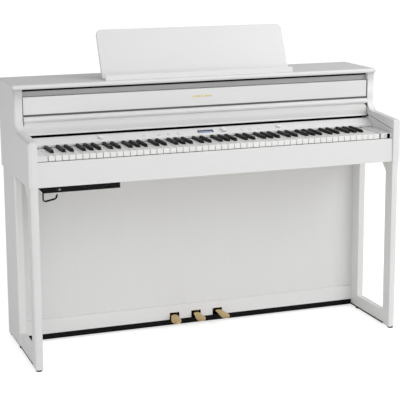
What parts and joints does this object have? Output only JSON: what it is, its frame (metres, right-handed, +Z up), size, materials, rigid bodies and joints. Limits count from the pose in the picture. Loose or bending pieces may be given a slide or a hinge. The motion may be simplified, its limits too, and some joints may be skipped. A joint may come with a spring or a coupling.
{
  "type": "upright piano",
  "caption": "White cabinet-style digital upright piano with folding fallboard, full keyboard, music rest, sloped control panel, side leg frames and brass pedals.",
  "frame": {"origin": "centre of the footprint's box at floor level, under the foot pads", "axes": "+X along the keyboard towards the treble end, +Y from the player towards the back, +Z up"},
  "size_m": [1.381, 0.467, 1.1242],
  "materials": {
    "white_finish": "satin",
    "inner_board": "satin",
    "grille": "matte",
    "dark_felt": "matte",
    "white_plastic": "satin",
    "display": "gloss",
    "black_plastic": "satin",
    "rubber_feet": "matte",
    "steel": "satin",
    "black_steel": "satin",
    "board_green": "satin",
    "speaker_black": "matte",
    "key_ivory": "satin",
    "key_ebony": "satin",
    "brass": "polished",
    "button_white": "satin"
  },
  "bodies": {
    "cabinet": {"left_side_panel": "white_finish", "right_side_panel": "white_finish", "top_board": "white_finish", "back_panel": "inner_board", "sound_grille": "grille", "lid_well": "dark_felt", "key_bed": "inner_board", "key_slip": "white_finish", "left_key_block": "white_finish", "right_key_block": "white_finish", "control_panel": "white_plastic", "display_window": "display", "left_front_leg": "white_finish", "left_rear_leg": "white_finish", "right_front_leg": "white_finish", "right_rear_leg": "white_finish", "foot_rails": "white_finish", "foot_pads": "rubber_feet", "knee_panel": "white_finish", "pedal_box": "white_finish", "kick_strip": "black_plastic", "jack_box": "black_plastic", "headphone_hook": "black_steel", "music_ledge": "white_finish", "rest_hinges": "steel", "key_frame": "inner_board", "circuit_board": "board_green", "speakers": "speaker_black", "power_inlet": "black_plastic", "pedal_brackets": "steel", "cabinet_screws": "steel"},
    "fallboard": {"fallboard": "white_finish", "fallboard_pivots": "steel"},
    "fallboard_flap": {"fallboard_flap": "white_finish"},
    "music_rest": {"music_rest": "white_finish"},
    "keys_c": {"keys_c": "key_ivory"},
    "keys_c_sharp": {"keys_c_sharp": "key_ebony"},
    "keys_d": {"keys_d": "key_ivory"},
    "keys_d_sharp": {"keys_d_sharp": "key_ebony"},
    "keys_e": {"keys_e": "key_ivory"},
    "keys_f": {"keys_f": "key_ivory"},
    "keys_f_sharp": {"keys_f_sharp": "key_ebony"},
    "keys_g": {"keys_g": "key_ivory"},
    "keys_g_sharp": {"keys_g_sharp": "key_ebony"},
    "keys_a": {"keys_a": "key_ivory"},
    "keys_a_sharp": {"keys_a_sharp": "key_ebony"},
    "keys_b": {"keys_b": "key_ivory"},
    "left_pedal": {"left_pedal": "brass"},
    "middle_pedal": {"middle_pedal": "brass"},
    "right_pedal": {"right_pedal": "brass"},
    "volume_knob": {"volume_knob": "white_plastic"},
    "tone_knob": {"tone_knob": "white_plastic"},
    "select_dial": {"select_dial": "white_plastic"},
    "power_button": {"power_button": "button_white"},
    "left_button_1": {"left_button_1": "button_white"},
    "left_button_2": {"left_button_2": "button_white"},
    "left_button_3": {"left_button_3": "button_white"},
    "right_button_1": {"right_button_1": "button_white"},
    "right_button_2": {"right_button_2": "button_white"},
    "right_button_3": {"right_button_3": "button_white"}
  },
  "joints": [
    {"name": "fallboard_swing", "type": "hinge", "parent": "cabinet", "child": "fallboard", "pos_m": [0, -0.019, 0.7795], "axis": [1, 0, 0], "range_deg": [0, 97.5]},
    {"name": "flap_fold", "type": "hinge", "parent": "fallboard", "child": "fallboard_flap", "pos_m": [0, -0.0105, 0.912], "axis": [1, 0, 0], "range_deg": [0, 180]},
    {"name": "rest_fold", "type": "hinge", "parent": "cabinet", "child": "music_rest", "pos_m": [0, 0.0325, 0.9605], "axis": [-1, 0, 0], "range_deg": [0, 65.25]},
    {"name": "press_c", "type": "hinge", "parent": "cabinet", "child": "keys_c", "pos_m": [0, 0.0015, 0.728], "axis": [1, 0, 0], "range_deg": [0, 2.5], "stiffness_Nm_per_rad": 20, "springref_deg": -5.73},
    {"name": "press_c_sharp", "type": "hinge", "parent": "cabinet", "child": "keys_c_sharp", "pos_m": [0, 0.0015, 0.728], "axis": [1, 0, 0], "range_deg": [0, 2.5], "stiffness_Nm_per_rad": 20, "springref_deg": -5.73},
    {"name": "press_d", "type": "hinge", "parent": "cabinet", "child": "keys_d", "pos_m": [0, 0.0015, 0.728], "axis": [1, 0, 0], "range_deg": [0, 2.5], "stiffness_Nm_per_rad": 20, "springref_deg": -5.73},
    {"name": "press_d_sharp", "type": "hinge", "parent": "cabinet", "child": "keys_d_sharp", "pos_m": [0, 0.0015, 0.728], "axis": [1, 0, 0], "range_deg": [0, 2.5], "stiffness_Nm_per_rad": 20, "springref_deg": -5.73},
    {"name": "press_e", "type": "hinge", "parent": "cabinet", "child": "keys_e", "pos_m": [0, 0.0015, 0.728], "axis": [1, 0, 0], "range_deg": [0, 2.5], "stiffness_Nm_per_rad": 20, "springref_deg": -5.73},
    {"name": "press_f", "type": "hinge", "parent": "cabinet", "child": "keys_f", "pos_m": [0, 0.0015, 0.728], "axis": [1, 0, 0], "range_deg": [0, 2.5], "stiffness_Nm_per_rad": 20, "springref_deg": -5.73},
    {"name": "press_f_sharp", "type": "hinge", "parent": "cabinet", "child": "keys_f_sharp", "pos_m": [0, 0.0015, 0.728], "axis": [1, 0, 0], "range_deg": [0, 2.5], "stiffness_Nm_per_rad": 20, "springref_deg": -5.73},
    {"name": "press_g", "type": "hinge", "parent": "cabinet", "child": "keys_g", "pos_m": [0, 0.0015, 0.728], "axis": [1, 0, 0], "range_deg": [0, 2.5], "stiffness_Nm_per_rad": 20, "springref_deg": -5.73},
    {"name": "press_g_sharp", "type": "hinge", "parent": "cabinet", "child": "keys_g_sharp", "pos_m": [0, 0.0015, 0.728], "axis": [1, 0, 0], "range_deg": [0, 2.5], "stiffness_Nm_per_rad": 20, "springref_deg": -5.73},
    {"name": "press_a", "type": "hinge", "parent": "cabinet", "child": "keys_a", "pos_m": [0, 0.0015, 0.728], "axis": [1, 0, 0], "range_deg": [0, 2.5], "stiffness_Nm_per_rad": 20, "springref_deg": -5.73},
    {"name": "press_a_sharp", "type": "hinge", "parent": "cabinet", "child": "keys_a_sharp", "pos_m": [0, 0.0015, 0.728], "axis": [1, 0, 0], "range_deg": [0, 2.5], "stiffness_Nm_per_rad": 20, "springref_deg": -5.73},
    {"name": "press_b", "type": "hinge", "parent": "cabinet", "child": "keys_b", "pos_m": [0, 0.0015, 0.728], "axis": [1, 0, 0], "range_deg": [0, 2.5], "stiffness_Nm_per_rad": 20, "springref_deg": -5.73},
    {"name": "left_pedal_press", "type": "hinge", "parent": "cabinet", "child": "left_pedal", "pos_m": [-0.082, 0.1665, 0.046], "axis": [1, 0, 0], "range_deg": [0, 4.5], "stiffness_Nm_per_rad": 12, "springref_deg": -8.59},
    {"name": "middle_pedal_press", "type": "hinge", "parent": "cabinet", "child": "middle_pedal", "pos_m": [0.004, 0.1665, 0.046], "axis": [1, 0, 0], "range_deg": [0, 4.5], "stiffness_Nm_per_rad": 12, "springref_deg": -8.59},
    {"name": "right_pedal_press", "type": "hinge", "parent": "cabinet", "child": "right_pedal", "pos_m": [0.09, 0.1665, 0.046], "axis": [1, 0, 0], "range_deg": [0, 4.5], "stiffness_Nm_per_rad": 12, "springref_deg": -8.59},
    {"name": "volume_turn", "type": "hinge", "parent": "cabinet", "child": "volume_knob", "pos_m": [-0.389, -0.0435, 0.759], "axis": [0, -0.4138, 0.9104], "range_deg": [-140, 140]},
    {"name": "tone_turn", "type": "hinge", "parent": "cabinet", "child": "tone_knob", "pos_m": [0.2835, -0.0435, 0.759], "axis": [0, -0.4138, 0.9104], "range_deg": [-140, 140]},
    {"name": "dial_spin", "type": "hinge", "parent": "cabinet", "child": "select_dial", "pos_m": [0.07, -0.0435, 0.759], "axis": [0, -0.4138, 0.9104], "continuous": true},
    {"name": "power_button_press", "type": "slide", "parent": "cabinet", "child": "power_button", "axis": [0, 0.4138, -0.9104], "range_m": [0, 0.0012], "stiffness_N_per_m": 400, "springref_m": -0.002},
    {"name": "left_button_1_press", "type": "slide", "parent": "cabinet", "child": "left_button_1", "axis": [0, 0.4138, -0.9104], "range_m": [0, 0.0012], "stiffness_N_per_m": 400, "springref_m": -0.002},
    {"name": "left_button_2_press", "type": "slide", "parent": "cabinet", "child": "left_button_2", "axis": [0, 0.4138, -0.9104], "range_m": [0, 0.0012], "stiffness_N_per_m": 400, "springref_m": -0.002},
    {"name": "left_button_3_press", "type": "slide", "parent": "cabinet", "child": "left_button_3", "axis": [0, 0.4138, -0.9104], "range_m": [0, 0.0012], "stiffness_N_per_m": 400, "springref_m": -0.002},
    {"name": "right_button_1_press", "type": "slide", "parent": "cabinet", "child": "right_button_1", "axis": [0, 0.4138, -0.9104], "range_m": [0, 0.0012], "stiffness_N_per_m": 400, "springref_m": -0.002},
    {"name": "right_button_2_press", "type": "slide", "parent": "cabinet", "child": "right_button_2", "axis": [0, 0.4138, -0.9104], "range_m": [0, 0.0012], "stiffness_N_per_m": 400, "springref_m": -0.002},
    {"name": "right_button_3_press", "type": "slide", "parent": "cabinet", "child": "right_button_3", "axis": [0, 0.4138, -0.9104], "range_m": [0, 0.0012], "stiffness_N_per_m": 400, "springref_m": -0.002}
  ],
  "couplings": [
    {"joint": "flap_fold", "follows": "fallboard_swing", "ratio": 1.8461}
  ]
}
